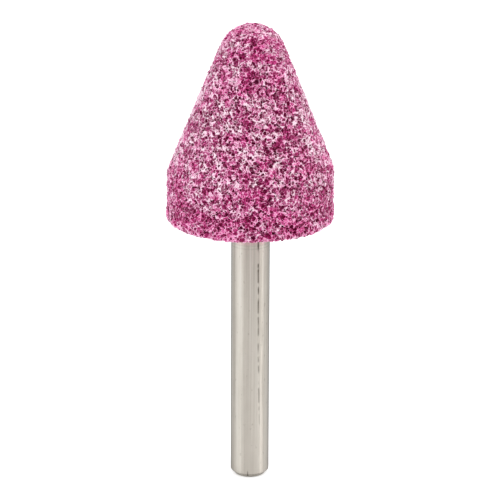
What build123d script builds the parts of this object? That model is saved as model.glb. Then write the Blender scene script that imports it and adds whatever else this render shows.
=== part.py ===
# Mounted point: a bonded abrasive head on a plain steel shank, standing on the shank's end.
#
# The head is a cone with a rounded tip on a short cylinder. It was pressed with a blind hole in
# its base and fired, so it is one piece. The steel shank is one turned piece. Its free length is
# plain ground bar with a 45 degree chamfer at the end that goes into a collet. The length inside
# the head, the tang, is turned down a little and has ring grooves for the cement to key into. The
# cement is the third piece: it fills the gap between the tang and the hole, and its rim shows as a
# thin ring round the shank on the underside of the head.
#
# Frame: +Z is the axis, from the shank's free end to the tip of the head. The origin is the centre
# of the shank's flat end face. Millimetres.
import math
import os

from build123d import *

# ---- driving dimensions -------------------------------------------------------------------------
# shank
SHANK_D = 6.0            # ground bar, the standard collet size
SHANK_FREE = 42.4        # from the end face to the underside of the head
SHANK_CHAMFER = 0.75     # 45 degrees, at the free end
TANG_D = 5.6             # turned down from the head's underside up
TANG_LENGTH = 17.6       # length inside the head, so the bar is 60 mm long
TANG_CHAMFER = 0.5
GROOVE_COUNT = 5
GROOVE_FIRST = 2.0       # lower edge of the first groove above the head's underside
GROOVE_PITCH = 2.9
GROOVE_WIDTH = 1.3
GROOVE_DEPTH = 0.35
# head
HEAD_D = 25.5            # across the cylinder
HEAD_HEIGHT = 30.4       # underside to tip
CONE_HALF_ANGLE = 22.05  # degrees
TIP_RADIUS = 5.25        # rounding of the tip
BASE_EDGE_RADIUS = 0.55  # broken edge round the underside
SHOULDER_RADIUS = 0.8    # where the cone meets the cylinder
# cement gap
HOLE_D = 6.7             # hole moulded in the head
HOLE_DEPTH = 18.3        # 0.7 mm past the end of the tang
HOLE_END_CHAMFER = 0.8

# ---- derived ------------------------------------------------------------------------------------
R_SHANK = SHANK_D / 2
R_TANG = TANG_D / 2
R_HEAD = HEAD_D / 2
R_HOLE = HOLE_D / 2
Z_BASE = SHANK_FREE                       # underside of the head
Z_TIP = Z_BASE + HEAD_HEIGHT
Z_TANG = Z_BASE + TANG_LENGTH
Z_HOLE = Z_BASE + HOLE_DEPTH
HALF = math.radians(CONE_HALF_ANGLE)
Z_TIP_CENTRE = Z_TIP - TIP_RADIUS
# the cone is tangent to the tip's sphere, and meets the cylinder at the shoulder
R_TANGENT = TIP_RADIUS * math.cos(HALF)
Z_TANGENT = Z_TIP_CENTRE + TIP_RADIUS * math.sin(HALF)
Z_SHOULDER = Z_TANGENT - (R_HEAD - R_TANGENT) / math.tan(HALF)


def turned(points, arcs=()):
    """A solid of revolution about Z from a closed outline of (radius, z) points. arcs maps the
    index of an edge's first point to the middle point of the arc that replaces the line."""
    arcs = dict(arcs)
    edges = []
    for i, a in enumerate(points):
        b = points[(i + 1) % len(points)]
        if i in arcs:
            edges.append(ThreePointArc((a[0], 0, a[1]), (arcs[i][0], 0, arcs[i][1]), (b[0], 0, b[1])))
        else:
            edges.append(Line((a[0], 0, a[1]), (b[0], 0, b[1])))
    face = Face(Wire(edges))
    return revolve(face, Axis.Z, 360)


# ---- shank --------------------------------------------------------------------------------------
shank_outline = [
    (0, 0),
    (R_SHANK - SHANK_CHAMFER, 0),
    (R_SHANK, SHANK_CHAMFER),
    (R_SHANK, Z_BASE),
    (R_TANG, Z_BASE),
]
for k in range(GROOVE_COUNT):
    low = Z_BASE + GROOVE_FIRST + k * GROOVE_PITCH
    high = low + GROOVE_WIDTH
    side = GROOVE_DEPTH                     # the groove's flanks lean at 45 degrees
    shank_outline += [
        (R_TANG, low),
        (R_TANG - GROOVE_DEPTH, low + side),
        (R_TANG - GROOVE_DEPTH, high - side),
        (R_TANG, high),
    ]
shank_outline += [
    (R_TANG, Z_TANG - TANG_CHAMFER),
    (R_TANG - TANG_CHAMFER, Z_TANG),
    (0, Z_TANG),
]
shank = turned(shank_outline)

# ---- head ---------------------------------------------------------------------------------------
tip_mid = math.pi / 4 + HALF / 2            # half way round the tip's arc, from the horizontal
edge_mid = BASE_EDGE_RADIUS * (1 - math.cos(math.pi / 4))
# the shoulder's rounding, tangent to the cylinder and to the cone
shoulder_cut = SHOULDER_RADIUS * math.tan(HALF / 2)
z_shoulder_low = Z_SHOULDER - shoulder_cut
shoulder_top = (R_HEAD - shoulder_cut * math.sin(HALF), Z_SHOULDER + shoulder_cut * math.cos(HALF))
shoulder_mid = (
    R_HEAD - SHOULDER_RADIUS * (1 - math.cos(HALF / 2)),
    z_shoulder_low + SHOULDER_RADIUS * math.sin(HALF / 2),
)
head_outline = [
    (R_HOLE, Z_BASE),
    (R_HEAD - BASE_EDGE_RADIUS, Z_BASE),    # 1: broken edge
    (R_HEAD, Z_BASE + BASE_EDGE_RADIUS),
    (R_HEAD, z_shoulder_low),               # 3: rounded shoulder
    shoulder_top,
    (R_TANGENT, Z_TANGENT),                 # 5: tip
    (0, Z_TIP),
    (0, Z_HOLE),
    (R_HOLE - HOLE_END_CHAMFER, Z_HOLE),
    (R_HOLE, Z_HOLE - HOLE_END_CHAMFER),
]
head_arcs = {
    1: (R_HEAD - edge_mid, Z_BASE + edge_mid),
    3: shoulder_mid,
    5: (TIP_RADIUS * math.cos(tip_mid), Z_TIP_CENTRE + TIP_RADIUS * math.sin(tip_mid)),
}
abrasive_head = turned(head_outline, head_arcs)

# ---- cement -------------------------------------------------------------------------------------
# What is left of the hole once the tang is in it, flush with the head's underside.
hole = turned([
    (0, Z_BASE),
    (R_HOLE, Z_BASE),
    (R_HOLE, Z_HOLE - HOLE_END_CHAMFER),
    (R_HOLE - HOLE_END_CHAMFER, Z_HOLE),
    (0, Z_HOLE),
])
cement_bond = hole - shank

# ---- write --------------------------------------------------------------------------------------
os.makedirs("parts", exist_ok=True)
NODES = {"abrasive_head": abrasive_head, "shank": shank, "cement_bond": cement_bond}
for name, shape in NODES.items():
    solids = shape.solids()
    assert len(solids) == 1, (name, len(solids))
    export_step(solids[0], f"parts/{name}.step")

if __name__ == "__main__":
    for name, shape in NODES.items():
        s = shape.solids()[0]
        print(name, "volume", round(s.volume, 1), "box", s.bounding_box())
    print("shoulder z above the underside", round(Z_SHOULDER - Z_BASE, 3), "total length", Z_TIP)
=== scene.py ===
import math

import bpy
import numpy as np
from mathutils import Matrix, Vector
from mathutils.geometry import delaunay_2d_cdt


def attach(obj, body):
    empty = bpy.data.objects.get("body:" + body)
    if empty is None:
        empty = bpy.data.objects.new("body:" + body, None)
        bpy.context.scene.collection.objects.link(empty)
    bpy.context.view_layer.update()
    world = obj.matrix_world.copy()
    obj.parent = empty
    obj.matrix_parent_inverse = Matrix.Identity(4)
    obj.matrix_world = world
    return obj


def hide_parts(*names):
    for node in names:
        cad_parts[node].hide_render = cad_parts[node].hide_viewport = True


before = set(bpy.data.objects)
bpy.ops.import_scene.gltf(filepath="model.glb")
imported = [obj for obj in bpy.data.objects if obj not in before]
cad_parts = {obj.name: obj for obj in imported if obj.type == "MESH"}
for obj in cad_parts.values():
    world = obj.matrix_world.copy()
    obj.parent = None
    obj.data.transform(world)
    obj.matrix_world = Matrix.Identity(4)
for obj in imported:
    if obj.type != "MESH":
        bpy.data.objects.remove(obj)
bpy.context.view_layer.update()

# ---- dimensions, millimetres --------------------------------------------------------------------
# The same numbers as the CAD part. Everything is built in millimetres and written in metres.
MM = 0.001
R_SHANK, R_TANG, R_HOLE, R_HEAD = 3.0, 2.8, 3.35, 12.75
SHANK_CHAMFER, TANG_CHAMFER, HOLE_END_CHAMFER = 0.75, 0.5, 0.8
Z_BASE, Z_TIP, Z_TANG, Z_HOLE = 42.4, 72.8, 60.0, 60.7
HALF = math.radians(22.05)
R_TIP, R_EDGE = 5.25, 0.55
GROOVES = [(Z_BASE + 2.0 + 2.9 * k, 1.3, 0.35) for k in range(5)]
Z_TIP_CENTRE = Z_TIP - R_TIP
R_TANGENT = R_TIP * math.cos(HALF)
Z_TANGENT = Z_TIP_CENTRE + R_TIP * math.sin(HALF)
Z_SHOULDER = Z_TANGENT - (R_HEAD - R_TANGENT) / math.tan(HALF)
# The stone was dressed by hand on its shank: the cylinder and the cone each run out a little.
OUT_CYLINDER, OUT_CONE_LOW, OUT_CONE_TIP = -0.08, 0.074, 0.18


# ---- small helpers ------------------------------------------------------------------------------
def hash01(ix, iy, iz, seed):
    """A repeatable number from 0 to 1 for each lattice point."""
    h = (ix.astype(np.int64) * 73856093) ^ (iy.astype(np.int64) * 19349663) ^ (iz.astype(np.int64) * 83492791)
    h = (h ^ (seed * 2654435761)) & 0xFFFFFFFF
    h = ((h ^ (h >> 16)) * 0x45D9F3B) & 0xFFFFFFFF
    h = ((h ^ (h >> 16)) * 0x45D9F3B) & 0xFFFFFFFF
    h = h ^ (h >> 16)
    return h / 4294967295.0


def value_noise(p, size, seed):
    """Smooth noise from 0 to 1 at the points p, with features of that size."""
    q = p / size
    i = np.floor(q).astype(np.int64)
    f = q - i
    f = f * f * (3 - 2 * f)
    total = 0.0
    for dx in (0, 1):
        for dy in (0, 1):
            for dz in (0, 1):
                wgt = (
                    (f[:, 0] if dx else 1 - f[:, 0])
                    * (f[:, 1] if dy else 1 - f[:, 1])
                    * (f[:, 2] if dz else 1 - f[:, 2])
                )
                total = total + wgt * hash01(i[:, 0] + dx, i[:, 1] + dy, i[:, 2] + dz, seed)
    return total


def ranks(x):
    """The values spread evenly from 0 to 1, in the same order."""
    out = np.empty(len(x))
    out[np.argsort(x, kind="stable")] = (np.arange(len(x)) + 0.5) / len(x)
    return out


def new_mesh(name, verts_mm, faces, smooth=False):
    mesh = bpy.data.meshes.new(name)
    mesh.from_pydata((np.asarray(verts_mm) * MM).tolist(), [], faces)
    mesh.validate()
    mesh.update()
    mesh.polygons.foreach_set("use_smooth", [smooth] * len(mesh.polygons))
    ob = bpy.data.objects.new(name, mesh)
    bpy.context.scene.collection.objects.link(ob)
    return ob


# ---- the head's surface -------------------------------------------------------------------------
# The outline from the edge of the hole, outwards along the underside, round the edge, up the side
# and over the tip: r0 and z0 along its length s. The cone meets the cylinder in a soft corner,
# which surface() works out, because the corner lies lower on one side than on the other.
def outline():
    r, z = [], []

    def add(rr, zz):
        r.extend(rr)
        z.extend(zz)

    n = 900
    add(np.linspace(R_HOLE, R_HEAD - R_EDGE, n)[:-1], np.full(n - 1, Z_BASE))
    a = np.linspace(-math.pi / 2, 0, 120)[:-1]
    add(R_HEAD - R_EDGE + R_EDGE * np.cos(a), Z_BASE + R_EDGE + R_EDGE * np.sin(a))
    add(np.full(700, R_HEAD), np.linspace(Z_BASE + R_EDGE, Z_SHOULDER, 701)[:-1])
    t = np.linspace(0, 1, 2001)[:-1]
    add(R_HEAD + (R_TANGENT - R_HEAD) * t, Z_SHOULDER + (Z_TANGENT - Z_SHOULDER) * t)
    a = HALF + (math.pi / 2 - HALF) * (1 - np.geomspace(1, 1e-6, 1500))
    add(R_TIP * np.cos(a), Z_TIP_CENTRE + R_TIP * np.sin(a))
    r, z = np.maximum(np.array(r), 1e-6), np.array(z)
    s = np.concatenate([[0], np.cumsum(np.hypot(np.diff(r), np.diff(z)))])
    return r, z, s


R0, Z0, S0 = outline()
# v is the length along the outline measured in radii, so that w = exp(-v + i angle) maps the whole
# outside of the head to a disc without changing small shapes.
V0 = np.concatenate([[0], np.cumsum(np.diff(S0) * 2 / (R0[1:] + R0[:-1]))])


def surface_at(theta, s):
    r, z = np.interp(s, S0, R0), np.interp(s, S0, Z0)
    e_cone = np.interp(z, [Z_SHOULDER, Z_TIP], [OUT_CONE_LOW, OUT_CONE_TIP])
    e = np.interp(z, [Z_SHOULDER - 1.4, Z_SHOULDER + 1.4], [0, 1])
    e = OUT_CYLINDER + (e_cone - OUT_CYLINDER) * e
    e = np.where(z < Z_BASE + 1e-6, OUT_CYLINDER * np.clip((r - R_HOLE) / 5.0, 0, 1), e)
    on_side = (z > Z_BASE + 3.0) & (z < Z_TANGENT)
    cone = R_HEAD + (Z_SHOULDER - z) * math.tan(HALF) + (e_cone - e) * np.cos(theta)
    cyl = R_HEAD + (OUT_CYLINDER - e) * np.cos(theta)
    k = 0.09
    low = np.minimum(cone, cyl)
    soft = low - k * np.log1p(np.exp(-np.abs(cone - cyl) / k))
    r = np.where(on_side, soft, r)
    return np.stack([e + r * np.cos(theta), r * np.sin(theta), z], axis=-1)


def surface(w):
    """Point and outward normal on the head's dressed surface for points of the disc."""
    theta, v = np.angle(w), -np.log(np.abs(w) + 1e-30)
    s = np.interp(v, V0, S0)
    p = surface_at(theta, s)
    dt = 1e-3
    ds = 0.02
    a = surface_at(theta + dt, s) - surface_at(theta - dt, s)
    lo, hi = np.clip(s - ds, 0, S0[-1]), np.clip(s + ds, 0, S0[-1])
    b = surface_at(theta, hi) - surface_at(theta, lo)
    n = np.cross(a, b)
    size = np.linalg.norm(n, axis=-1, keepdims=True)
    n = np.where(size > 1e-9, n / np.maximum(size, 1e-12), [[0, 0, 1.0]])
    return p, n, s


S_EDGE_LOW = np.interp(R_HEAD - R_EDGE - 0.9, R0[:900], S0[:900])   # the undressed rim starts here
S_SIDE = float(S0[np.argmax(Z0 > Z_BASE + R_EDGE)])
S_DRESSED = S_SIDE + 1.0


# ---- grains -------------------------------------------------------------------------------------
def scatter(rng):
    """Grain centres over the whole outside of the head, large ones first, none closer than their
    sizes allow. Returns angle, length along the outline and grain radius."""
    area = np.concatenate([[0], np.cumsum(np.diff(S0) * (R0[1:] + R0[:-1]) / 2)])
    cell = 0.62
    grid, out = {}, []

    def near(key):
        kx, ky, kz = key
        for x in (kx - 1, kx, kx + 1):
            for y in (ky - 1, ky, ky + 1):
                for z in (kz - 1, kz, kz + 1):
                    yield from grid.get((x, y, z), ())

    for count, low, high, gap in ((3500, 0.24, 0.32, 0.92), (26000, 0.165, 0.22, 0.93), (150000, 0.108, 0.148, 0.92)):
        theta = rng.uniform(-math.pi, math.pi, count)
        s = np.interp(rng.uniform(0, area[-1], count), area, S0)
        rad = rng.uniform(low, high, count)
        pts = surface_at(theta, s)
        ok = s > 0.28
        keys = np.floor(pts / cell).astype(int)
        for i in range(count):
            if not ok[i]:
                continue
            x, y, z = pts[i]
            ri = rad[i]
            key = tuple(keys[i])
            for (px, py, pz, pr) in near(key):
                d = (ri + pr) * gap
                if (px - x) ** 2 + (py - y) ** 2 + (pz - z) ** 2 < d * d:
                    break
            else:
                grid.setdefault(key, []).append((x, y, z, ri))
                out.append((theta[i], s[i], ri))
    return np.array(out)


def build_head():
    rng = np.random.RandomState(20260417)
    spots = scatter(rng)
    n_hole = 46
    hole_angle = (np.arange(n_hole) + 0.5) * 2 * math.pi / n_hole - math.pi
    w = np.concatenate([
        np.exp(1j * hole_angle),
        np.exp(-np.interp(spots[:, 1], S0, V0) + 1j * spots[:, 0]),
    ])
    rad = np.concatenate([np.full(n_hole, 0.15), spots[:, 2]])
    n = len(w)
    made = delaunay_2d_cdt([Vector((c.real, c.imag)) for c in w], [], [], 0, 0.0)
    back = {i: o[0] for i, o in enumerate(made[3]) if o}
    tri = np.array([[back[i] for i in f] for f in made[2] if len(f) == 3])
    a, b, c = w[tri[:, 0]], w[tri[:, 1]], w[tri[:, 2]]
    turn = ((b - a) * np.conj(c - a)).imag
    tri[turn > 0] = tri[turn > 0][:, ::-1]

    # one junction inside every triangle, nearer to the smaller grains
    lam = (1 / rad[tri]) ** 1.2 * np.exp(0.28 * rng.standard_normal(tri.shape))
    lam /= lam.sum(axis=1, keepdims=True)
    wj = (w[tri] * lam).sum(axis=1)
    m = len(tri)

    # for each grain, its junctions in order round it
    site = tri.ravel()
    which = np.repeat(np.arange(m), 3)
    inward = np.where(np.abs(w[site]) > 1 - 1e-9, -w[site], 1)
    angle = np.angle((wj[which] - w[site]) / inward)
    order = np.lexsort((angle, site))
    site, which = site[order], which[order]
    start = np.searchsorted(site, np.arange(n + 1))

    p_site, n_site, s_site = surface(w)
    p_j, n_j, s_j = surface(wj)

    def roughness(s):
        """How uneven the surface is: dressed on the side, as pressed at the lower edge."""
        x = np.interp(s, [0, S_EDGE_LOW - 1.0, S_EDGE_LOW, S_SIDE, S_DRESSED, S_DRESSED + 0.8], [1.7, 1.7, 2.6, 3.0, 2.4, 1.0])
        return x

    rough = roughness(s_site)
    on_rim = rough > 1.9
    open_ = s_site > 0.6
    # patches of the stone hold more ruby or more white grain, and pits come in loose groups
    tint = value_noise(p_site, 2.9, 11) + 0.8 * value_noise(p_site, 1.35, 12)
    tint = (tint - tint.mean()) / tint.std()
    group = value_noise(p_site, 0.95, 13) + 0.5 * value_noise(p_site, 4.0, 14)
    group = (group - group.mean()) / group.std()
    small, large = rad < 0.156, rad > 0.23
    # the small grains and the bond fill the gaps between the larger ones: they are the white
    # lattice, and the larger ones are the ruby crystals and the pits where one fell out
    chance = rng.uniform(0, 1, n) + 0.05 * group - 0.03 * tint
    pit = (chance < np.where(small, 0.35, np.where(large, 0.20, 0.31)) * np.where(on_rim, 0.55, 1.0)) & open_
    sunk = ~pit & (chance < np.where(small, 0.40, 0.60)) & open_       # broken off below its neighbours
    hollow = ~pit & ~sunk & ~small & (chance > 0.84) & open_           # a small pore opens in its top
    height = rng.normal(0, 0.030, n) * rough
    height = np.where(on_rim, height + rng.uniform(-0.08, 0.24, n) * (rough - 1.0) / 2.0, height)
    height = np.where(sunk, height - rng.uniform(0.04, 0.13, n), height)
    floor_ = np.where(pit, rng.uniform(0.17, 0.38, n) * np.clip(rad / 0.2, 0.7, 1.25), 0.0)
    edge_mid = (S_EDGE_LOW + 0.9 + S_SIDE) / 2
    height = height + 0.11 * np.exp(-((s_site - edge_mid) / 0.42) ** 2)       # the pressed edge is sharper than the dressed one
    height = np.minimum(height - floor_, 0.24)
    slope = rng.normal(0, 1, (n, 3)) * (np.where(rng.uniform(0, 1, n) < 0.35, 0.36, 0.17) * np.minimum(rough, 2))[:, None]
    slope[pit] *= 0.4

    # junctions: the bond between grains, level with the tops round a pit, with open pores at some
    solid = ~pit[tri]
    n_pit = 3 - solid.sum(axis=1)
    hj_near = np.where(solid, height[tri], 0.0).sum(axis=1) / np.maximum(solid.sum(axis=1), 1)
    drop = rng.uniform(0.0, 1.0, m)
    height_j = hj_near - np.choose(n_pit, [0.055 * drop - 0.090, 0.06 * drop - 0.065, 0.16 * drop - 0.035, 0.20 * drop])
    open_between = (rng.uniform(0, 1, m) < np.choose(n_pit, [0, 0.03, 0.24, 0.55]))     # pits that run together
    height_j = np.where(open_between, np.minimum(height_j, 0) - rng.uniform(0.08, 0.18, m), height_j)
    pore_j = (rng.uniform(0, 1, m) < 0.21) & (n_pit < 2)
    height_j = np.where(pore_j, height_j - rng.uniform(0.08, 0.22, m), height_j)
    on_hole = np.zeros(m, bool)
    on_hole[which[site < n_hole]] = True
    height_j = np.where(on_hole, np.clip(height_j, -0.05, 0.0), height_j)
    pore_j &= ~on_hole
    verts_j = p_j + n_j * height_j[:, None]

    # each grain's own upper outline, drawn in from the junctions; in a pit, the foot of its wall
    ringed = (rad > 0.156) & (np.arange(n) >= n_hole)
    ps, pw = site[ringed[site]], which[ringed[site]]
    inset = np.where(pit, rng.uniform(0.12, 0.26, n), rng.uniform(0.12, 0.32, n))
    ins = np.clip(inset[ps] * (1 + np.where(pit[ps], 0.34, 0.24) * rng.standard_normal(len(ps))), 0.07, 0.45)
    wt = w[ps] + (wj[pw] - w[ps]) * (1 - ins)
    p_t, n_t, s_t = surface(wt)
    ht = height[ps] + ((p_t - p_site[ps]) * slope[ps]).sum(axis=1)
    ht = np.where(pit[ps], ht + floor_[ps] * rng.uniform(0.05, 0.5, len(ps)), np.minimum(ht, 0.18))
    verts_t = p_t + n_t * ht[:, None]

    # every grain is a broken crystal with a low point or ridge, or it has a pore in the middle
    idx_c = np.arange(n_hole, n)
    mean_r = np.bincount(site, 0.75 * np.abs(wj[which] - w[site]), minlength=n) / np.maximum(np.bincount(site, minlength=n), 1)
    wc = w[idx_c] + mean_r[idx_c] * rng.uniform(0, 0.42, len(idx_c)) * np.exp(1j * rng.uniform(0, 6.283, len(idx_c)))
    p_c, n_c, s_c = surface(wc)
    rise = rng.uniform(-0.07, 0.02, len(idx_c)) * np.minimum(rough[idx_c], 2.2)
    rise = np.where(hollow[idx_c], -rng.uniform(0.08, 0.22, len(idx_c)), rise)
    rise = np.where(pit[idx_c], rng.uniform(-0.06, 0.04, len(idx_c)), rise)
    hc = height[idx_c] + rise
    verts_c = p_c + n_c * hc[:, None]

    # vertices: junctions, upper outlines, points, then the edge of the hole and the hole itself
    base_t = m
    base_c = base_t + len(verts_t)
    base_b = base_c + len(verts_c)
    base_m = base_b + n_hole
    mid_angle = hole_angle + math.pi / n_hole

    def ring(angle_, r, z):
        return np.stack([r * np.cos(angle_), r * np.sin(angle_), np.full_like(angle_, z)], axis=-1)

    loop_angle = np.empty(2 * n_hole)
    loop_angle[0::2], loop_angle[1::2] = hole_angle, mid_angle
    wall_1 = ring(loop_angle, R_HOLE, Z_HOLE - HOLE_END_CHAMFER)
    wall_2 = ring(loop_angle, R_HOLE - HOLE_END_CHAMFER, Z_HOLE)
    base_w1 = base_m + n_hole
    base_w2 = base_w1 + 2 * n_hole
    top = base_w2 + 2 * n_hole
    verts = np.concatenate([
        verts_j, verts_t, verts_c,
        ring(hole_angle, R_HOLE, Z_BASE), ring(mid_angle, R_HOLE, Z_BASE),
        wall_1, wall_2, [[0, 0, Z_HOLE]],
    ])

    faces, owner = [], []
    first = np.searchsorted(ps, np.arange(n))
    for i in range(n_hole, n):
        js = [int(j) for j in which[start[i]:start[i + 1]]]
        k = len(js)
        if ringed[i]:
            ts = [int(base_t + first[i] + q) for q in range(k)]
            for q in range(k):
                nx = (q + 1) % k
                faces.append((js[q], js[nx], ts[nx], ts[q]))
            owner += [i] * k
            js = ts
        for q in range(k):
            faces.append((js[q], js[(q + 1) % k], base_c + i - n_hole))
        owner += [i] * k
    for i in range(n_hole):
        js = which[start[i]:start[i + 1]]
        loop = [base_m + i] + [int(j) for j in js] + [base_m + (i - 1) % n_hole]
        for a_, b_ in zip(loop[:-1], loop[1:]):
            faces.append((base_b + i, a_, b_))
            owner.append(i)
    low_loop = np.empty(2 * n_hole, int)
    low_loop[0::2] = base_b + np.arange(n_hole)
    low_loop[1::2] = base_m + np.arange(n_hole)
    for j in range(2 * n_hole):
        nx = (j + 1) % (2 * n_hole)
        faces.append((int(low_loop[nx]), int(low_loop[j]), base_w1 + j, base_w1 + nx))
        faces.append((base_w1 + nx, base_w1 + j, base_w2 + j, base_w2 + nx))
        faces.append((base_w2 + nx, base_w2 + j, top))
        owner += [0, 0, 0]

    # how each vertex takes its colour: 0 is white grain and bond, 1 the deepest ruby in a pit. The dark in pits, pores
    # and sunken junctions is partly the ruby and partly painted shade, darker the deeper they lie
    # painted light: the lower edge faces down and gets less light, so the grain there is painted lighter
    lower_edge_painted_light = np.interp(s_site, [S_EDGE_LOW, S_SIDE, S_DRESSED, S_DRESSED + 1.5], [-0.20, -0.20, -0.02, 0.0])
    tone = np.empty(n)
    for group_ in (small, ~small & ~large, large):
        tone[group_] = ranks(0.11 * tint[group_] + rng.uniform(-0.5, 0.5, int(group_.sum())))
    tone = np.clip(tone + lower_edge_painted_light * 1.1 + 0.04, 0, 1)
    depth = np.where(
        small,
        np.interp(tone, [0, 0.30, 0.70, 0.90, 1.0], [0.02, 0.12, 0.30, 0.50, 0.66]),
        np.interp(tone, [0, 0.12, 0.35, 0.65, 0.88, 1.0], [0.06, 0.22, 0.46, 0.64, 0.76, 0.84]),
    )
    depth = np.where(sunk, np.clip(depth + 0.12, 0, 0.86), depth)
    depth = np.where(pit, rng.uniform(0.62, 0.88, n) + 0.06 * tone + 0.6 * lower_edge_painted_light, depth)
    top_tone = np.where(solid, depth[tri], 0).sum(axis=1) / np.maximum(solid.sum(axis=1), 1)
    top_tone = np.where(n_pit == 3, 0.30, top_tone)
    shade = np.zeros(len(verts))
    # painted light: the junctions at the lower edge are painted lighter too
    lower_edge_painted_light_j = np.interp(s_j, [S_EDGE_LOW, S_SIDE, S_DRESSED, S_DRESSED + 1.5], [-0.11, -0.11, -0.02, 0.0])
    # painted shade: the lower a junction sits, the darker it is painted
    shade[:m] = 0.055 + 0.31 * top_tone - rng.uniform(0.0, 0.20, m) + 0.9 * np.maximum(0, -height_j) + lower_edge_painted_light_j
    shade[base_t:base_c] = depth[ps] * np.where(pit[ps], rng.uniform(0.85, 1.0, len(ps)), rng.uniform(0.62, 1.05, len(ps)))
    shade[base_c:base_b] = depth[idx_c] + np.where(pit[idx_c], 0.24, rng.uniform(-0.06, 0.10, len(idx_c)))
    # painted shade: this value paints open pores and pit floors down to nearly black
    pore_painted_shade = np.zeros(len(verts))
    pore_painted_shade[:m] = np.where(pore_j, rng.uniform(0.7, 1.0, m), 0)
    # painted shade: junctions where pits run together are painted dark
    shade[:m] = np.where(open_between, rng.uniform(0.50, 0.78, m), shade[:m])
    pore_painted_shade[base_c:base_b] = np.where(hollow[idx_c], 1.1, np.where(pit[idx_c], np.where(small[idx_c], rng.uniform(0.9, 2.0, len(idx_c)), 0.35), 0))

    # the tip was dressed finest: its colours lie closer together
    at_tip = np.clip((verts[:, 2] - 66.0) / 3.0, 0, 1)
    shade += 0.26 * at_tip * (0.42 - shade)
    pore_painted_shade *= 1 - 0.4 * at_tip

    # the grain is redder near the pressed edge and at the tip, and paler in a band between them
    z_all = verts[:, 2]
    redder = np.interp(z_all, [Z_BASE - 0.4, Z_BASE + 0.2, Z_BASE + 1.2, Z_BASE + 4.5, Z_BASE + 7.8], [0.10, 0.34, 0.36, 0.25, 0.0])
    redder = redder + 0.05 * np.clip((z_all - 66.0) / 4.0, 0, 1) - 0.13 * np.exp(-((z_all - 59.5) / 4.5) ** 2)

    ob = new_mesh("abrasive_stone", verts, faces)
    mesh = ob.data
    owner = np.array(owner)
    att = mesh.attributes.new("shade", "FLOAT", "POINT")
    att.data.foreach_set("value", shade)
    att = mesh.attributes.new("pore", "FLOAT", "POINT")
    att.data.foreach_set("value", pore_painted_shade)
    att = mesh.attributes.new("redder", "FLOAT", "POINT")
    att.data.foreach_set("value", redder)
    loops = np.array([len(f) for f in faces])
    per_corner = np.repeat(owner, loops)
    rand = rng.uniform(0, 1, n)
    att = mesh.attributes.new("chance", "FLOAT", "CORNER")
    att.data.foreach_set("value", rand[per_corner])
    mesh.polygons.foreach_set("material_index", pit[owner].astype(int))
    return ob


# ---- turned pieces ------------------------------------------------------------------------------
def lathe(name, rows, ang, nudge=None, smooth=True):
    """A closed turned solid. rows are (r, z) from the axis at one end to the axis at the other, and
    ang holds the angles round it."""
    seg = len(ang)
    verts, faces, index = [], [], []
    for r, z in rows:
        if r <= 1e-9:
            index.append([len(verts)] * seg)
            verts.append((0, 0, z))
        else:
            index.append(list(range(len(verts), len(verts) + seg)))
            verts += [(r * math.cos(a), r * math.sin(a), z) for a in ang]
    verts = np.array(verts, float)
    if nudge is not None:
        verts = nudge(verts)
    for lo, hi in zip(index[:-1], index[1:]):
        for j in range(seg):
            nx = (j + 1) % seg
            f = [lo[j], lo[nx], hi[nx], hi[j]]
            f = [v for q, v in enumerate(f) if v != f[q - 1]]
            if len(f) >= 3:
                faces.append(tuple(f))
    return new_mesh(name, verts, faces, smooth)


def rounded(points, radius, steps=4):
    """The same outline with each listed corner rounded. points are (r, z, round it or not)."""
    out = []
    for i, (r, z, on) in enumerate(points):
        if not on or i in (0, len(points) - 1):
            out.append((r, z))
            continue
        p = np.array([r, z])
        a = np.array(points[i - 1][:2]) - p
        b = np.array(points[i + 1][:2]) - p
        ta, tb = a / np.linalg.norm(a), b / np.linalg.norm(b)
        cut = min(radius, 0.4 * np.linalg.norm(a), 0.4 * np.linalg.norm(b))
        for t in np.linspace(0, 1, steps + 1):
            q = (1 - t) ** 2 * (p + ta * cut) + 2 * t * (1 - t) * p + t * t * (p + tb * cut)
            out.append((float(q[0]), float(q[1])))
    return out


def round_angles(count, *finer):
    """Angles round the axis in radians, -pi to pi, closer together where finer says so. finer holds
    (middle, half width, step) in degrees, counted from -Y towards +X."""
    out = list(np.arange(count) * 2 * math.pi / count - math.pi)
    for mid, half, step in finer:
        lo, hi = math.radians(mid - half - 90), math.radians(mid + half - 90)
        out = [a for a in out if not lo - math.radians(step) * 0.6 < a < hi + math.radians(step) * 0.6]
        out += list(np.arange(lo, hi + 1e-9, math.radians(step)))
    return np.array(sorted(out))


def front_angle(p):
    """Degrees round the axis from -Y towards +X."""
    return np.degrees(np.arctan2(p[:, 0], -p[:, 1]))


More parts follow.
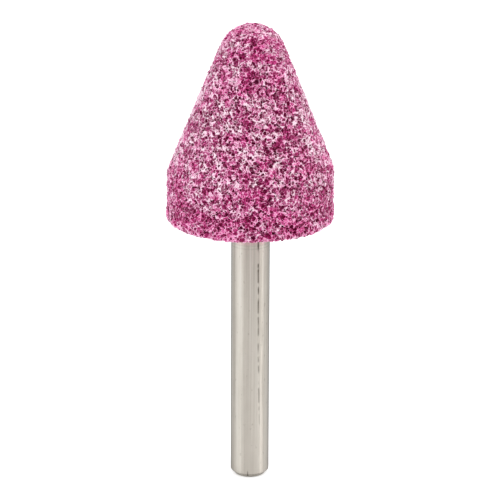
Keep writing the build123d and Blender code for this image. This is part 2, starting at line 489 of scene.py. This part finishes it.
def dark_line_along_bar(p):
    """How deep the broken dark line along the shank is at the points, from 0 to 1."""
    z = p[:, 2]
    middle = np.interp(z, [6.0, 11.6, 21.6, 42.4], [30.6, 28.6, 24.6, 23.4])
    middle = middle + 0.9 * (value_noise(np.stack([z * 0, z * 0, z], axis=-1), 3.1, 31) - 0.5)
    off = np.radians(front_angle(p) - middle) * R_SHANK
    dash = value_noise(np.stack([z * 0 + 5, z * 0, z], axis=-1), 0.62, 33)
    wide = value_noise(np.stack([z * 0 + 9, z * 0, z], axis=-1), 3.4, 35)
    strength = np.clip((dash - 0.36) / 0.26, 0.16, 1) * np.interp(z, [5.5, 9, 14, 26, 36, 42.4], [0, 0.25, 0.5, 0.7, 0.9, 0.9])
    strength = strength * (0.55 + 0.6 * wide)
    strength = np.maximum(strength, 1.0 * np.exp(-((z - 38.6) / 0.75) ** 2) + 1.0 * np.exp(-((z - 34.5) / 0.42) ** 2))
    on_wall = (np.hypot(p[:, 0], p[:, 1]) > R_SHANK - 0.02) & (z < Z_BASE)
    beside = np.radians(front_angle(p) - middle - 13.5) * R_SHANK          # a fainter one runs beside it
    faint = np.clip((wide - 0.3) / 0.4, 0, 1) * np.interp(z, [9, 13, 27, 32], [0, 0.34, 0.34, 0])
    return np.where(on_wall, np.maximum(np.exp(-(off / 0.13) ** 2) * strength, np.exp(-(beside / 0.08) ** 2) * faint), 0)


def end_nick(p):
    """The small notch that was knocked in the chamfer, from 0 to 1."""
    off = np.radians(front_angle(p) + 6.0) * np.maximum(np.hypot(p[:, 0], p[:, 1]), 0.1)
    up = np.interp(p[:, 2], [0.0, 0.5, 1.0, 1.5], [0.8, 1.0, 0.7, 0])
    return np.where(np.hypot(p[:, 0], p[:, 1]) > 1.9, np.exp(-(off / 0.075) ** 2) * up, 0)


def build_shank():
    pts = [(0, 0.0, 0), (1.1, 0.0, 0), (1.9, 0.0, 0), (R_SHANK - SHANK_CHAMFER, 0, 1), (R_SHANK - SHANK_CHAMFER / 2, SHANK_CHAMFER / 2, 0), (R_SHANK, SHANK_CHAMFER, 1)]
    for z in np.arange(1.1, Z_BASE - 0.2, 0.31):
        pts.append((R_SHANK, float(z), 0))
    pts += [(R_SHANK, Z_BASE, 0), (R_TANG, Z_BASE, 0)]
    for low, width, depth in GROOVES:
        pts += [(R_TANG, low, 0), (R_TANG - depth, low + depth, 0), (R_TANG - depth, low + width - depth, 0), (R_TANG, low + width, 0)]
    pts += [(R_TANG, Z_TANG - TANG_CHAMFER, 0), (R_TANG - TANG_CHAMFER, Z_TANG, 0), (0, Z_TANG, 0)]
    rows = rounded(pts, 0.06, 3)
    marks = {}

    def nudge(v):
        """The bar isn't perfect: its line and its nick are cut in, and its corner is a little worn."""
        line, nick = dark_line_along_bar(v), end_nick(v)
        r = np.hypot(v[:, 0], v[:, 1])
        corner = np.exp(-((v[:, 2] - 0.7) / 0.35) ** 2) * (r > 2.4)
        worn = 0.022 * value_noise(v, 0.55, 41) * corner
        cut = 0.045 * line + 0.13 * nick + worn
        scale = np.where(r > 1e-6, (r - cut) / np.maximum(r, 1e-6), 1)
        out = v.copy()
        out[:, 0] *= scale
        out[:, 1] *= scale
        marks["line"], marks["nick"] = line, nick
        return out

    ob = lathe("steel_shank", rows, round_angles(150, (27.0, 6.0, 0.55), (40.3, 3.4, 0.65), (-6.0, 4.4, 0.7)), nudge)
    att = ob.data.attributes.new("mark", "FLOAT", "POINT")
    att.data.foreach_set("value", np.maximum(marks["line"], marks["nick"]))
    return ob


def build_cement():
    """The cement round the tang, with the uneven bead that was squeezed out round the shank."""
    rows = [(0, Z_TANG), (R_TANG - TANG_CHAMFER, Z_TANG), (R_TANG, Z_TANG - TANG_CHAMFER)]
    for low, width, depth in reversed(GROOVES):
        rows += [(R_TANG, low + width), (R_TANG - depth, low + width - depth), (R_TANG - depth, low + depth), (R_TANG, low)]
    rows += [(R_TANG, Z_BASE), (R_SHANK - 0.02, Z_BASE)]
    bead = [(R_SHANK - 0.01, -0.40), (3.05, -0.36), (3.14, -0.30), (3.25, -0.24), (3.37, -0.18), (3.49, -0.11), (3.60, -0.03), (3.64, 0.05)]
    rows += [(r, Z_BASE + dz) for r, dz in bead]
    rows += [(R_HOLE, Z_BASE + 0.12), (R_HOLE, Z_HOLE - HOLE_END_CHAMFER), (R_HOLE - HOLE_END_CHAMFER, Z_HOLE), (0, Z_HOLE)]
    ang = round_angles(120)

    def nudge(v):
        r, z = np.hypot(v[:, 0], v[:, 1]), v[:, 2]
        unit = v / np.maximum(r, 1e-6)[:, None]
        ring = np.stack([unit[:, 0], unit[:, 1], 0 * z], axis=-1)
        wave = 0.75 * value_noise(ring, 0.34, 51) + 0.35 * value_noise(ring, 0.12, 52) + 0.15 * value_noise(v, 0.10, 53)
        on = (z < Z_BASE + 0.06) & (r > R_SHANK - 0.015)
        out = v.copy()
        out[:, 2] = np.where(on, Z_BASE - (Z_BASE - z) * (0.25 + 0.95 * wave), z)
        grow = np.where(on & (r > 3.2), (wave - 0.6) * 0.26 * np.interp(r, [3.2, 3.64], [0.2, 1]), 0)
        out[:, :2] += unit[:, :2] * grow[:, None]
        return out

    return lathe("cement_bead", rows, ang, nudge, False)


# ---- node helpers -------------------------------------------------------------------------------
class Nodes:
    """Short calls for a material's nodes."""

    def __init__(self, name):
        self.mat = bpy.data.materials.new(name)
        self.mat.use_nodes = True
        self.tree = self.mat.node_tree
        self.tree.nodes.clear()
        self.out = self.tree.nodes.new("ShaderNodeOutputMaterial")
        self.bsdf = self.tree.nodes.new("ShaderNodeBsdfPrincipled")
        self.tree.links.new(self.bsdf.outputs[0], self.out.inputs[0])
        self.coord = self.tree.nodes.new("ShaderNodeTexCoord").outputs["Object"]

    def set(self, name, value):
        self.bsdf.inputs[name].default_value = value

    def link(self, a, b):
        self.tree.links.new(a, b)

    def into(self, name, socket):
        self.tree.links.new(socket, self.bsdf.inputs[name])

    def attribute(self, name):
        node = self.tree.nodes.new("ShaderNodeAttribute")
        node.attribute_type = "GEOMETRY"
        node.attribute_name = name
        return node.outputs["Fac"]

    def scaled(self, x, y, z):
        """Object coordinates, stretched."""
        node = self.tree.nodes.new("ShaderNodeMapping")
        node.vector_type = "POINT"
        node.inputs["Scale"].default_value = (x, y, z)
        self.link(self.coord, node.inputs["Vector"])
        return node.outputs[0]

    def noise(self, scale, detail=2.0, rough=0.5, vector=None, distortion=0.0):
        node = self.tree.nodes.new("ShaderNodeTexNoise")
        node.inputs["Scale"].default_value = scale
        node.inputs["Detail"].default_value = detail
        node.inputs["Roughness"].default_value = rough
        node.inputs["Distortion"].default_value = distortion
        self.link(vector or self.coord, node.inputs["Vector"])
        return node.outputs["Fac"]

    def voronoi(self, scale, feature="F1", vector=None, output="Distance"):
        node = self.tree.nodes.new("ShaderNodeTexVoronoi")
        node.feature = feature
        node.inputs["Scale"].default_value = scale
        self.link(vector or self.coord, node.inputs["Vector"])
        return node.outputs[output]

    def math(self, op, a, b=None, c=None, clamp=False):
        node = self.tree.nodes.new("ShaderNodeMath")
        node.operation = op
        node.use_clamp = clamp
        for i, x in enumerate((a, b, c)):
            if x is None:
                continue
            if isinstance(x, (int, float)):
                node.inputs[i].default_value = x
            else:
                self.link(x, node.inputs[i])
        return node.outputs[0]

    def span(self, x, a, b, c=0.0, d=1.0, smooth=False):
        """x from a..b to c..d, held at the ends."""
        node = self.tree.nodes.new("ShaderNodeMapRange")
        node.interpolation_type = "SMOOTHSTEP" if smooth else "LINEAR"
        node.clamp = True
        self.link(x, node.inputs["Value"])
        for name, v in zip(("From Min", "From Max", "To Min", "To Max"), (a, b, c, d)):
            node.inputs[name].default_value = v
        return node.outputs["Result"]

    def ramp(self, x, stops, mode="LINEAR"):
        node = self.tree.nodes.new("ShaderNodeValToRGB")
        cr = node.color_ramp
        cr.interpolation = mode
        while len(cr.elements) > 1:
            cr.elements.remove(cr.elements[-1])
        cr.elements[0].position = stops[0][0]
        cr.elements[0].color = (*stops[0][1], 1)
        for pos, col in stops[1:]:
            el = cr.elements.new(pos)
            el.color = (*col, 1)
        self.link(x, node.inputs["Fac"])
        return node.outputs["Color"]

    def mix(self, fac, a, b, mode="MIX"):
        node = self.tree.nodes.new("ShaderNodeMix")
        node.data_type = "RGBA"
        node.blend_type = mode
        node.clamp_factor = True
        fac_in = [i for i in node.inputs if i.enabled][0]
        a_in = [i for i in node.inputs if i.name == "A" and i.type == "RGBA"][0]
        b_in = [i for i in node.inputs if i.name == "B" and i.type == "RGBA"][0]
        for sock, x in ((fac_in, fac), (a_in, a), (b_in, b)):
            if isinstance(x, (int, float)):
                sock.default_value = x
            elif isinstance(x, tuple):
                sock.default_value = (*x, 1)
            else:
                self.link(x, sock)
        return [o for o in node.outputs if o.type == "RGBA"][0]

    def bump(self, height, strength, distance, normal=None):
        node = self.tree.nodes.new("ShaderNodeBump")
        node.inputs["Strength"].default_value = strength
        node.inputs["Distance"].default_value = distance
        self.link(height, node.inputs["Height"])
        if normal is not None:
            self.link(normal, node.inputs["Normal"])
        return node.outputs[0]


# ---- materials ----------------------------------------------------------------------------------
def stone_material(name, in_pit):
    """The grain's colour runs from white through pink to deep ruby. A pit's wall takes more colour
    and has less gloss, because light reaches it only through the grain round it."""
    m = Nodes(name)
    shade, pore, chance = (m.attribute(x) for x in ("shade", "pore", "chance"))
    fine = m.noise(8200, 1.0, 0.5)
    flaw = m.noise(2700, 2.0, 0.55)
    # the colour's strength drifts over a few grains: some batches are redder and deeper, some paler
    cloud = m.noise(600, 2.0, 0.6)
    which = m.math("ADD", m.span(cloud, 0.34, 0.66), m.math("MULTIPLY", m.math("SUBTRACT", chance, 0.5), 0.08))
    which = m.math("ADD", which, m.span(m.noise(230, 1.0, 0.5), 0.35, 0.65, -0.13, 0.13))
    which = m.math("SUBTRACT", which, m.attribute("redder"))
    t = m.math("ADD", shade, m.span(fine, 0.25, 0.75, -0.52, 0.52))
    t = m.math("ADD", t, m.span(flaw, 0.3, 0.7, -0.14, 0.14))
    t = m.math("ADD", t, m.span(which, 0.0, 1.0, 0.13, -0.11))
    t = m.math("MULTIPLY_ADD", t, 1.19, -0.09, clamp=True)
    plain = m.ramp(t, [
        (0.00, (0.955, 0.710, 0.835)),
        (0.08, (0.88, 0.480, 0.667)),
        (0.18, (0.74, 0.289, 0.488)),
        (0.28, (0.62, 0.169, 0.362)),
        (0.42, (0.50, 0.074, 0.240)),
        (0.56, (0.385, 0.028, 0.152)),
        (0.70, (0.26, 0.008, 0.084)),
        (0.84, (0.15, 0.003, 0.038)),
        (1.00, (0.074, 0.001, 0.016)),
    ])
    hot = m.ramp(t, [
        (0.00, (0.95, 0.519, 0.735)),
        (0.18, (0.80, 0.212, 0.461)),
        (0.36, (0.62, 0.058, 0.271)),
        (0.56, (0.45, 0.008, 0.15)),
        (0.75, (0.27, 0.002, 0.068)),
        (1.00, (0.095, 0.001, 0.017)),
    ])
    lilac = m.ramp(t, [
        (0.00, (0.955, 0.800, 0.870)),
        (0.18, (0.75, 0.470, 0.583)),
        (0.42, (0.46, 0.142, 0.263)),
        (0.70, (0.23, 0.022, 0.077)),
        (1.00, (0.075, 0.003, 0.017)),
    ])
    colour = m.mix(m.span(which, 0.56, 0.94, 0, 1.0), plain, lilac)
    colour = m.mix(m.span(which, 0.06, 0.46, 1.0, 0), colour, hot)
    dark = m.ramp(m.span(fine, 0.3, 0.7), [(0.0, (0.035, 0.001, 0.006)), (1.0, (0.12, 0.004, 0.022))])
    # towards an open pore the colour goes through wine red to nearly black: the ruby, then painted shade in the hole
    colour = m.mix(m.span(pore, 0.20, 0.46, 0, 0.85, True), colour, (0.36, 0.035, 0.145))
    colour = m.mix(m.span(pore, 0.36, 0.68, 0, 0.95, True), colour, dark)
    m.into("Base Color", colour)
    m.into("Roughness", m.span(m.math("ADD", m.math("MULTIPLY", chance, 0.5), m.math("MULTIPLY", fine, 0.5)), 0.15, 0.8, 0.14, 0.42))
    m.set("IOR", 1.5 if in_pit else 1.62)
    m.set("Specular IOR Level", 0.35 if in_pit else 1.0)
    m.set("Specular Tint", (0.50, 0.10, 0.25, 1))        # ruby, except at a flat angle
    m.set("Sheen Weight", 0.3 if in_pit else 0.9)          # fine dust on the grain
    m.set("Sheen Roughness", 0.30)
    m.set("Sheen Tint", (1, 1, 1, 1))
    h = m.math("ADD", m.math("MULTIPLY", fine, 0.7), m.math("MULTIPLY", m.noise(14000, 2.0, 0.6), 0.3))
    m.into("Normal", m.bump(h, 0.5, 0.00006))
    return m.mat


def steel_material():
    """Ground bar: rings round it spread every reflection along its length, and faint streaks run
    along it from drawing."""
    m = Nodes("ground_steel")
    m.set("Metallic", 1.0)
    m.set("Specular Tint", (0.34, 0.385, 0.43, 1))     # the bar's edge, seen at a flat angle
    streak = m.noise(2300, 3.0, 0.65, m.scaled(1, 1, 0.012))
    broad = m.noise(900, 2.0, 0.5, m.scaled(1, 1, 0.03))
    blotch = m.noise(620, 3.0, 0.55, m.scaled(1, 1, 0.5))
    level = m.math("ADD", m.math("MULTIPLY", streak, 0.45), m.math("MULTIPLY", broad, 0.30))
    level = m.math("ADD", level, m.math("MULTIPLY", blotch, 0.25))
    colour = m.ramp(m.span(level, 0.36, 0.64), [
        (0.0, (0.505, 0.464, 0.407)),
        (0.5, (0.59, 0.547, 0.484)),
        (1.0, (0.67, 0.628, 0.565)),
    ])
    z = m.tree.nodes.new("ShaderNodeSeparateXYZ")
    m.link(m.coord, z.inputs[0])
    z = z.outputs["Z"]
    colour = m.mix(m.span(z, 0.004, 0.020, 0.26, 0, True), colour, (0.73, 0.685, 0.615))      # painted light: the steel is painted brighter towards the free end
    # painted reflection of the head: the steel just under it is painted pink, above two faint dark lines painted round
    # it
    high = m.math("ADD", z, m.math("MULTIPLY", m.noise(700, 2.0, 0.5), 0.0012))
    colour = m.mix(m.span(high, 0.0390, 0.0398, 0, 0.42, True), colour, (0.66, 0.36, 0.38))
    # painted reflection: these two dark lines stand for the head's underside seen in the steel
    for at in (0.0381, 0.0386):
        ring = m.span(m.math("ABSOLUTE", m.math("SUBTRACT", z, at)), 0.00004, 0.00014, 0.30, 0)
        colour = m.mix(ring, colour, (0.36, 0.37, 0.31))
    # painted shade: the corner of the chamfer is painted dark all round
    rim = m.span(m.math("ABSOLUTE", m.math("SUBTRACT", z, 0.00062)), 0.00006, 0.00020, 1, 0, True)
    rim = m.math("MULTIPLY", rim, m.span(m.noise(1100, 2.0, 0.5), 0.35, 0.6, 0.06, 0.30))
    colour = m.mix(rim, colour, (0.13, 0.12, 0.105))
    # handling marks: small dull specks
    speck = m.noise(1700, 2.0, 0.5, m.scaled(1, 1, 0.6))
    colour = m.mix(m.span(speck, 0.66, 0.74, 0, 0.35), colour, (0.30, 0.26, 0.21))
    mark = m.span(m.attribute("mark"), 0.05, 0.85, 0, 0.88)
    colour = m.mix(mark, colour, (0.085, 0.070, 0.050))
    thin = m.noise(3300, 2.0, 0.5, m.scaled(1, 1, 0.006))
    colour = m.mix(m.span(thin, 0.56, 0.66, 0, 0.30), colour, (0.30, 0.28, 0.25))
    colour = m.mix(m.span(thin, 0.44, 0.34, 0, 0.35), colour, (0.78, 0.75, 0.70))
    m.into("Base Color", colour)
    rings = m.noise(900, 4.0, 0.65, m.scaled(0.04, 0.04, 11))
    rough = m.math("ADD", m.span(rings, 0.3, 0.7, 0.38, 0.47), m.span(blotch, 0.3, 0.7, -0.02, 0.03))
    m.into("Roughness", m.math("ADD", rough, m.math("MULTIPLY", mark, 0.25)))
    m.set("Anisotropic", 0.86)
    m.set("Anisotropic Rotation", 0.25)
    tangent = m.tree.nodes.new("ShaderNodeTangent")
    tangent.direction_type = "RADIAL"
    tangent.axis = "Z"
    m.link(tangent.outputs[0], m.bsdf.inputs["Tangent"])
    m.into("Normal", m.bump(m.math("ADD", rings, m.math("MULTIPLY", streak, 0.6)), 0.18, 0.00001))
    return m.mat


def cement_material():
    m = Nodes("dull_cement")
    grain = m.noise(3200, 3.0, 0.6)
    patch = m.noise(500, 2.0, 0.5)
    colour = m.ramp(m.span(patch, 0.3, 0.7), [(0.0, (0.47, 0.43, 0.36)), (1.0, (0.66, 0.62, 0.55))])
    colour = m.mix(m.span(grain, 0.55, 0.7, 0, 0.5), colour, (0.30, 0.27, 0.23))
    m.into("Base Color", colour)
    m.into("Roughness", m.span(grain, 0.3, 0.7, 0.75, 0.95))
    m.into("Normal", m.bump(grain, 0.5, 0.00005))
    return m.mat


def floor_material():
    """Matt white sweep, lit up to white for the camera only, so that it doesn't light the object."""
    m = Nodes("pale_floor")
    tint = m.noise(9, 2.0, 0.5)
    m.into("Base Color", m.ramp(tint, [(0.0, (0.80, 0.80, 0.80)), (1.0, (0.82, 0.82, 0.82))]))
    m.set("Roughness", 0.85)
    m.set("Emission Color", (1, 1, 1, 1))
    path_node = m.tree.nodes.new("ShaderNodeLightPath")
    m.into("Emission Strength", m.math("MULTIPLY", path_node.outputs["Is Camera Ray"], 0.45))
    return m.mat


def dress(ob, *mats):
    """Give the piece its materials, in the order of its faces' material numbers."""
    numbers = [f.material_index for f in ob.data.polygons]
    ob.data.materials.clear()
    for mat in mats:
        ob.data.materials.append(mat)
    ob.data.polygons.foreach_set("material_index", [min(i, len(mats) - 1) for i in numbers])


# ---- the pieces ---------------------------------------------------------------------------------
stone = build_head()
dress(stone, stone_material("ruby_corundum_grain", False), stone_material("ruby_corundum_pit", True))
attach(stone, "root")
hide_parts("abrasive_head")

shank = build_shank()
dress(shank, steel_material())
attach(shank, "root")
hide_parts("shank")

cement = build_cement()
dress(cement, cement_material())
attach(cement, "root")
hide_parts("cement_bond")

# ---- stage --------------------------------------------------------------------------------------
def build_floor():
    seg, rings_ = 64, [0.0, 0.05, 0.12, 0.3, 0.8, 2.0, 4.0]
    verts, faces = [(0, 0, 0)], []
    for r in rings_[1:]:
        verts += [(r * math.cos(2 * math.pi * j / seg), r * math.sin(2 * math.pi * j / seg), 0) for j in range(seg)]
    for j in range(seg):
        faces.append((0, 1 + j, 1 + (j + 1) % seg))
    for k in range(len(rings_) - 2):
        a, b = 1 + k * seg, 1 + (k + 1) * seg
        for j in range(seg):
            nx = (j + 1) % seg
            faces.append((a + j, b + j, b + nx, a + nx))
    ob = new_mesh("floor", np.array(verts) / MM, faces, True)
    dress(ob, floor_material())
    return ob


build_floor()

world = bpy.data.worlds.new("studio")
world.use_nodes = True
tree = world.node_tree
tree.nodes.clear()
room, backdrop = tree.nodes.new("ShaderNodeBackground"), tree.nodes.new("ShaderNodeBackground")
room.inputs["Color"].default_value = (1, 1, 1, 1)
room.inputs["Strength"].default_value = 0.81
backdrop.inputs["Color"].default_value = (1, 1, 1, 1)
backdrop.inputs["Strength"].default_value = 0.95       # what shows behind the floor from a low view
pick, path_ = tree.nodes.new("ShaderNodeMixShader"), tree.nodes.new("ShaderNodeLightPath")
tree.links.new(path_.outputs["Is Camera Ray"], pick.inputs[0])
tree.links.new(room.outputs[0], pick.inputs[1])
tree.links.new(backdrop.outputs[0], pick.inputs[2])
tree.links.new(pick.outputs[0], tree.nodes.new("ShaderNodeOutputWorld").inputs[0])
bpy.context.scene.world = world


def softbox(name, azimuth, elevation, distance, width, height, radiance, colour=(1, 1, 1)):
    """A soft area light. Azimuth 0 is the camera's side, positive to the camera's right."""
    a, e = math.radians(azimuth), math.radians(elevation)
    aim = Vector((0, 0, 0.04))
    at = aim + distance * Vector((math.sin(a) * math.cos(e), -math.cos(a) * math.cos(e), math.sin(e)))
    data = bpy.data.lights.new(name, "AREA")
    data.shape = "RECTANGLE"
    data.size, data.size_y = width, height
    data.energy = radiance * math.pi * width * height
    data.color = colour
    ob = bpy.data.objects.new(name, data)
    ob.location = at
    ob.rotation_euler = (aim - at).to_track_quat("-Z", "Y").to_euler()
    bpy.context.scene.collection.objects.link(ob)
    return ob


softbox("key_left", -66, 10, 0.70, 0.60, 0.26, 2.42, (0.91, 0.965, 1.0))
softbox("key_right", 70, 10, 0.70, 0.22, 0.26, 3.45)
softbox("top", 90, 80, 1.60, 2.6, 2.6, 0.98)

# ---- camera -------------------------------------------------------------------------------------
cam_data = bpy.data.cameras.new("camera")
cam = bpy.data.objects.new("camera", cam_data)
bpy.context.scene.collection.objects.link(cam)
FOCAL_PX, DISTANCE, ELEVATION, ROLL = 2747.4, 0.4237, math.radians(18.26), 0.0041
cam_data.sensor_width = 36.0
cam_data.lens = FOCAL_PX / 500 * 36.0
aim_at = Vector((0, 0, 0.03837))
cam.location = aim_at + DISTANCE * Vector((0, -math.cos(ELEVATION), math.sin(ELEVATION)))
look = Vector((-0.000074, 0, 0.037007)) - cam.location
turn = look.to_track_quat("-Z", "Y").to_matrix().to_4x4() @ Matrix.Rotation(ROLL, 4, "Z")
cam.rotation_euler = turn.to_euler()
bpy.context.scene.camera = cam

bpy.context.scene.view_settings.view_transform = "Standard"
bpy.context.scene.view_settings.look = "None"
